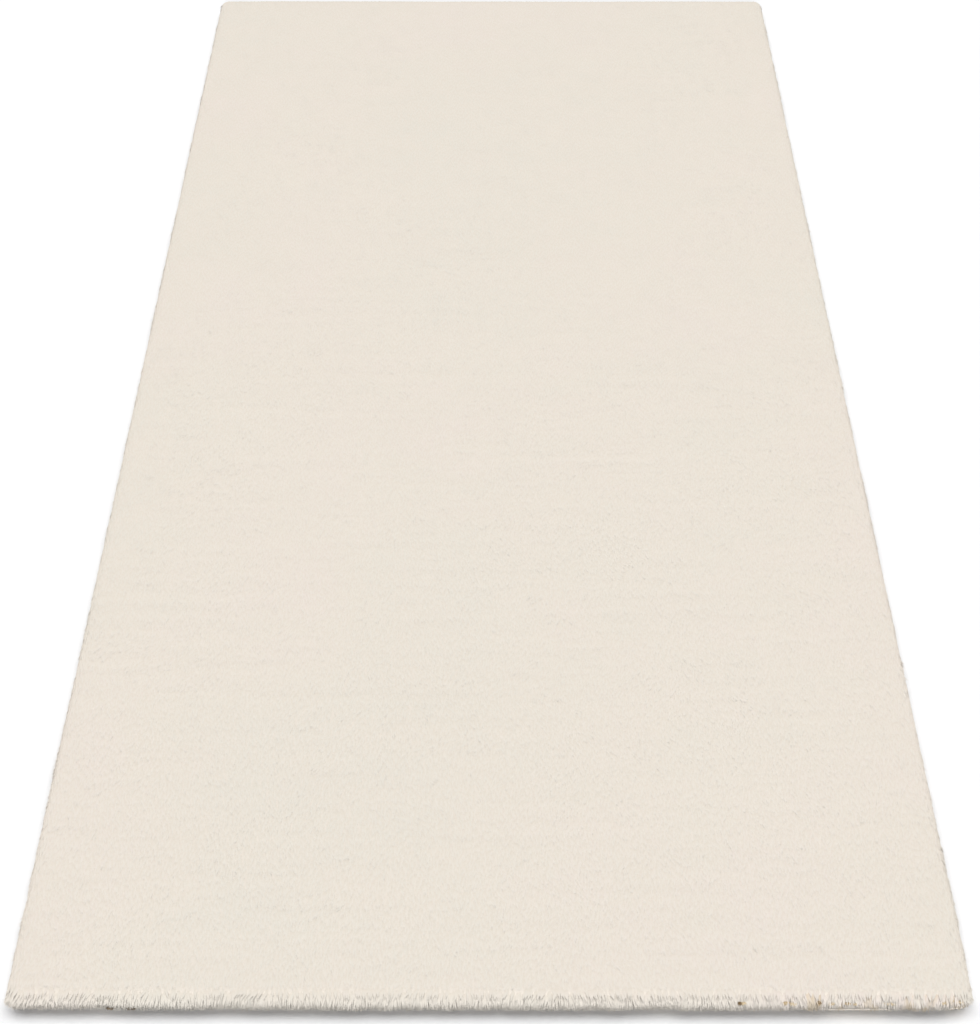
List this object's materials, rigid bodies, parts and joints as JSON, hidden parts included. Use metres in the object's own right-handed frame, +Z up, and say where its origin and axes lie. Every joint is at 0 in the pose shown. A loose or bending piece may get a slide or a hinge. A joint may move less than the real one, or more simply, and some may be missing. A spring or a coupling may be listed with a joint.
{
  "type": "shag rug",
  "caption": "Rectangular plush shag rug with round corners, lying flat, with short locks of pile at its rim and a thin backing cloth.",
  "frame": {"origin": "on the floor, under the middle of the rug", "axes": "+X across the rug, to the right in the picture; +Y along the rug, away from the picture's camera; +Z up, out of the pile"},
  "size_m": [0.81, 1.51, 0.0251],
  "materials": {
    "cream_pile": "soft matt plush pile, warm cream",
    "cream_backing": "smooth matt backing cloth, cream"
  },
  "bodies": {
    "root": {"plush_pile": "cream_pile", "backing_sheet": "cream_backing"}
  },
  "joints": []
}
